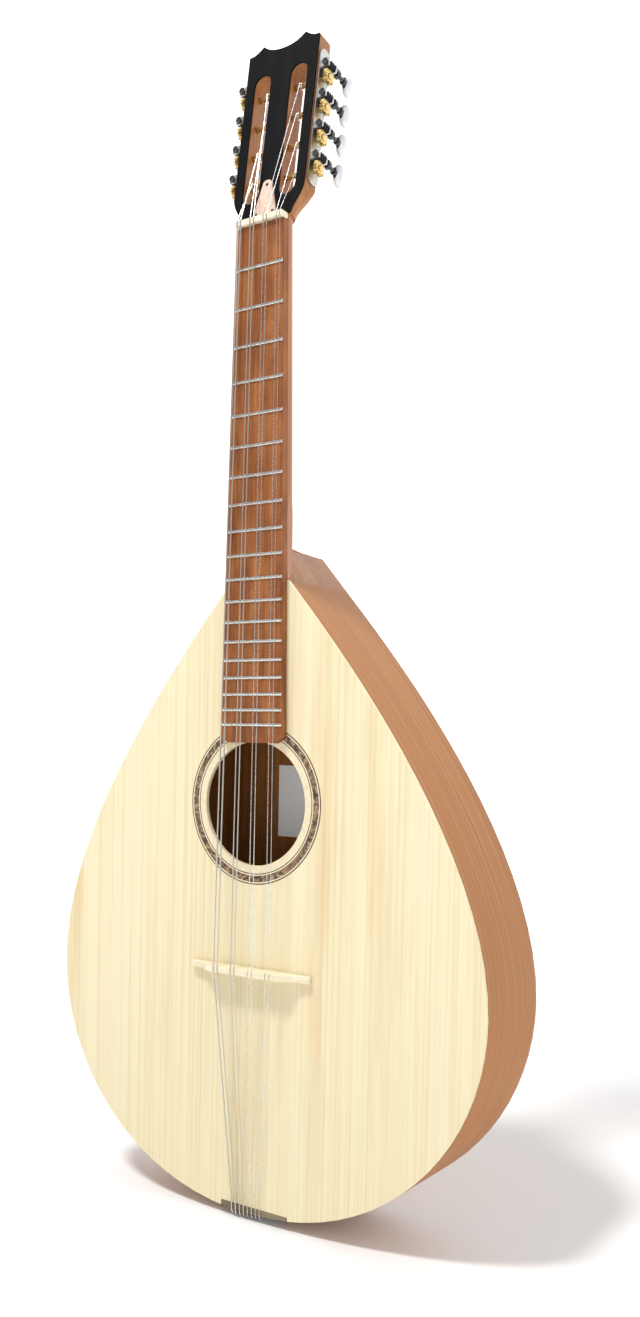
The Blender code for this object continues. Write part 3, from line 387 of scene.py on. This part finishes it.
SHOULDER = math.radians(41.5)
LOW = bezier((0.0, -0.7135), (0.1180, -0.7135), (0.1905, -0.6300), (0.1905, -0.5450), 56)
HIGH = bezier((0.1905, -0.5450), (0.1905, -0.4342),
              (0.0260 + 0.06 * math.sin(SHOULDER), -0.2533 - 0.06 * math.cos(SHOULDER)),
              (0.0260, -0.2533), 56)
HALF = LOW + HIGH[1:]
NEAR = HALF
ALONG = [0.0]
for _a, _b in zip(HALF, HALF[1:]):
    ALONG.append(ALONG[-1] + math.hypot(_b[0] - _a[0], _b[1] - _a[1]))


def bend_grain(ob):
    """Lay the grain along the bent side: distance round the outline, depth."""
    layer = ob.data.uv_layers.new(name="bend")
    spot = []
    for v in ob.data.vertices:
        x, z = abs(v.co.x), v.co.z - Z_NUT
        best = min(range(len(HALF)),
                   key=lambda i: (HALF[i][0] - x) ** 2 + (HALF[i][1] - z) ** 2)
        spot.append((ALONG[best] * (1.0 if v.co.x > 0 else -1.0), v.co.y))
    for loop in ob.data.loops:
        layer.data[loop.index].uv = spot[loop.vertex_index]


def closed(half):
    return half + [(-x, z) for x, z in reversed(half[1:])]


def circle(r, steps=160):
    return [(r * math.cos(2 * math.pi * i / steps),
             HOLE_Z + r * math.sin(2 * math.pi * i / steps)) for i in range(steps)]


# the two bent sides, with a close outline
for side, name in ((1, "rib_treble"), (-1, "rib_bass")):
    inner = []
    last = len(NEAR) - 1
    for i, (x, z) in enumerate(NEAR):
        a, b = NEAR[max(i - 1, 0)], NEAR[min(i + 1, last)]
        dx, dz = b[0] - a[0], b[1] - a[1]
        size = math.hypot(dx, dz)
        inner.append((max(x - dz / size * 0.0025, 0.0001), z + dx / size * 0.0025))
    inner[-1] = (inner[-1][0], NEAR[-1][1])
    outer = [(max(x, 0.0001), z) for x, z in NEAR]
    loop = [(side * x, z) for x, z in outer + inner[::-1]]
    ob = flat(name + "_fine", [loop], 0.0706, elevation(0.0384))
    bend_grain(ob)
    settle(ob, SIDE, ROOT, (name,))

# rings round the soundhole, let in flush with a hair standing proud
for name, outer, inner, mat in (
        ("hole_line_outer", 0.0587, 0.0579, DARKLINE),
        ("hole_line_pale", 0.0579, 0.0570, LIGHTLINE),
        ("hole_band", 0.0570, 0.0523, MOSAIC),
        ("hole_line_inner", 0.0523, 0.0514, LIGHTLINE),
        ("hole_line_dark", 0.0514, 0.0507, DARKLINE),
        ("hole_ring", 0.0507, 0.0454, LIGHTLINE)):
    ob = flat(name, [circle(outer), circle(inner)], 0.00012, elevation(-0.00008))
    settle(ob, mat, ROOT)

# plain paper on the back's inside; its material glows faintly, painted light on the paper
paper = flat("plain_label", [[(-0.033, -0.443), (-0.005, -0.443), (-0.005, -0.387),
                              (-0.033, -0.387)]], 0.0002, elevation(0.0736))
settle(paper, PAPER_GLOW, ROOT)

# three small screws in the rod cover
into = Matrix.Rotation(-(math.pi / 2.0 + TILT), 4, "X")
for i, (x, s) in enumerate(((-0.0074, 0.0085), (0.0074, 0.0085), (0.0, 0.0300))):
    place = Matrix.Translation(head(x, s, -0.0019)) @ into
    ob = turned("cover_screw_%d" % (i + 1),
                [(0.0003, -0.00055), (0.0008, -0.00048), (0.00115, -0.00022), (0.0012, 0.0)],
                20, place)
    settle(ob, INK, ROOT)

# machines: buttons and the turns of string, finer than their solids
for hand, side in (("bass", -1), ("treble", 1)):
    for i in range(4):
        s = 0.0380 + 0.0230 * i
        button = "shaft_%s_%d" % (hand, i + 1)
        place = Matrix.Translation(head(side * 0.0374, s + 0.0082, 0.0)) @ into
        shape = [(0.0012, 0.0268)]
        for k in range(13):
            a = math.radians(-78.0 + 156.0 * k / 12)
            shape.append((0.0084 * math.cos(a) ** 0.85 + 0.0002, 0.0324 + 0.0057 * math.sin(a)))
        ob = turned("button_%s_%d" % (hand, i + 1), shape, 40, place, 0.44, 1.04)
        settle(ob, PEARL, button)
        place = Matrix.Translation(head(0.0, s, 0.0080)) @ Matrix.Rotation(
            -TILT, 4, "X") @ Matrix.Rotation(side * math.pi / 2.0, 4, "Y")
        order = i
        spot = (0.0190, 0.0170, 0.0145, 0.0145)[order]
        radius = ((0.00055, 0.00055, 0.00042, 0.00042) if side < 0
                  else (0.00022, 0.00022, 0.00030, 0.00030))[order]
        for turn in range(4):
            z = spot + (turn - 1.5) * 2.0 * radius
            r = 0.0020 + radius
            ring = [(r, z - radius)]
            for k in range(1, 6):
                a = math.pi * k / 6
                ring.append((r + radius * math.sin(a) * 1.02, z - radius * math.cos(a)))
            ring.append((r, z + radius))
            ob = turned("turn_%s_%d_%d" % (hand, i + 1, turn + 1), ring, 24, place)
            settle(ob, WOUND if side < 0 else STEEL, "winder_%s_%d" % (hand, i + 1))

# ---------------------------------------------------------------- studio
floor_mesh = bpy.data.meshes.new("floor")
bm = bmesh.new()
rows = []
for y, z in ((-4.0, 0.0), (1.6, 0.0), (2.2, 0.08), (2.7, 0.35), (3.0, 0.85), (3.1, 4.0)):
    rows.append([bm.verts.new((x, y, z - 0.0002)) for x in (-5.0, 5.0)])
for a, b in zip(rows, rows[1:]):
    bm.faces.new((a[0], a[1], b[1], b[0]))
bm.to_mesh(floor_mesh)
bm.free()
floor_mesh.shade_smooth()
floor = bpy.data.objects.new("floor", floor_mesh)
bpy.context.scene.collection.objects.link(floor)
mat, tree, bsdf = new_material("floor_white")
bsdf.inputs["Base Color"].default_value = (0.92, 0.92, 0.92, 1.0)
bsdf.inputs["Roughness"].default_value = 0.9
# the floor glows, faintly near the object and more with distance from it: painted light that whitens
# the floor far off and fades the far end of the object's shadow
bsdf.inputs["Emission Color"].default_value = (1.0, 1.0, 1.0, 1.0)
where = tree.nodes.new("ShaderNodeTexCoord")
away = tree.nodes.new("ShaderNodeVectorMath")
away.operation = "LENGTH"
floor_glow_by_distance = tree.nodes.new("ShaderNodeMapRange")
floor_glow_by_distance.inputs["From Min"].default_value = 0.55
floor_glow_by_distance.inputs["From Max"].default_value = 1.6
floor_glow_by_distance.inputs["To Min"].default_value = 0.03
floor_glow_by_distance.inputs["To Max"].default_value = 0.75
tree.links.new(where.outputs["Object"], away.inputs[0])
tree.links.new(away.outputs["Value"], floor_glow_by_distance.inputs["Value"])
tree.links.new(floor_glow_by_distance.outputs["Result"], bsdf.inputs["Emission Strength"])
floor_mesh.materials.append(mat)
floor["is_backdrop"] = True


def lamp(name, place, target, size, power):
    data = bpy.data.lights.new(name, "AREA")
    data.shape = "DISK"
    data.size = size
    data.energy = power
    ob = bpy.data.objects.new(name, data)
    bpy.context.scene.collection.objects.link(ob)
    ob.location = place
    aim = Vector(target) - Vector(place)
    ob.rotation_euler = aim.to_track_quat("-Z", "Y").to_euler()
    return ob


lamp("key", (-0.45, -1.40, 3.2), (0.0, 0.0, 0.30), 0.5, 72.0)
lamp("fill", (1.9, -0.9, 1.2), (0.05, 0.0, 0.35), 1.6, 7.0)
lamp("rear", (0.3, 1.1, 2.3), (0.0, 0.0, 0.40), 1.5, 2.5)

scene = bpy.context.scene
world = scene.world or bpy.data.worlds.new("studio")
scene.world = world
world.use_nodes = True
back = world.node_tree.nodes.get("Background")
back.inputs["Color"].default_value = (1.0, 1.0, 1.0, 1.0)
back.inputs["Strength"].default_value = 0.50
sky = world.node_tree
seen = sky.nodes.new("ShaderNodeLightPath")
level = sky.nodes.new("ShaderNodeMapRange")
level.inputs["To Min"].default_value = 0.44
level.inputs["To Max"].default_value = 1.0
sky.links.new(seen.outputs["Is Camera Ray"], level.inputs["Value"])
sky.links.new(level.outputs["Result"], back.inputs["Strength"])
scene.view_settings.view_transform = "Standard"

# ---------------------------------------------------------------- camera
eye = at(0.5202, -0.6670, -0.3667)
ahead = Vector((-0.54027, 0.84109, -0.02590)).normalized()
up = Vector((-0.0318, 0.0103, 0.9994))
right = ahead.cross(up).normalized()
up = right.cross(ahead).normalized()
data = bpy.data.cameras.new("camera")
data.sensor_width = 36.0
data.lens = 1164.5 / 1317.0 * 36.0
data.shift_x = (320.0 - 361.7) / 1317.0
data.shift_y = (771.5 - 658.5) / 1317.0
data.clip_start = 0.01
camera = bpy.data.objects.new("camera", data)
scene.collection.objects.link(camera)
camera.matrix_world = Matrix(((right.x, up.x, -ahead.x, eye.x),
                              (right.y, up.y, -ahead.y, eye.y),
                              (right.z, up.z, -ahead.z, eye.z),
                              (0.0, 0.0, 0.0, 1.0)))
scene.camera = camera


def numbers(value):
    if hasattr(value, "__len__"):
        return [numbers(v) for v in value]
    return float(value)


{"cad": numbers(CAD_BOX), "visual": numbers(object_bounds())}
